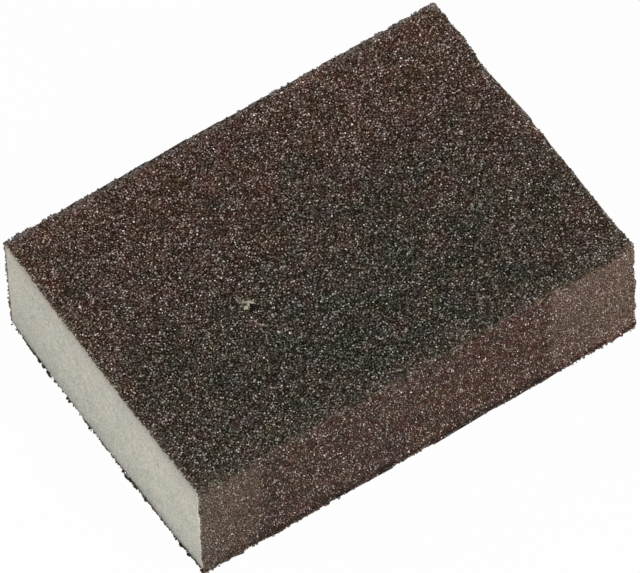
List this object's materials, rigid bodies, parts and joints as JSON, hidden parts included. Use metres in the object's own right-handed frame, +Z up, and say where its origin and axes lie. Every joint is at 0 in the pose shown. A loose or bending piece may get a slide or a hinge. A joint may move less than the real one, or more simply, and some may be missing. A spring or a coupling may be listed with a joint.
{
  "type": "sanding sponge",
  "caption": "Rectangular foam block wrapped lengthwise in a thin coat of abrasive grit, with bare knife-cut foam at its ends.",
  "frame": {"origin": "middle of the coated face that it rests on", "axes": "+X along the length from one bare end to the other, +Y across the width, +Z up through the thickness"},
  "size_m": [0.1, 0.07, 0.029],
  "materials": {
    "foam": "pale warm grey fine-celled polyurethane foam, knife-cut, fully matte",
    "grit": "dark red-brown to olive fused abrasive grains in resin, rough, with small glints"
  },
  "bodies": {
    "root": {"foam_block": "foam", "abrasive_coat": "grit"}
  },
  "joints": []
}
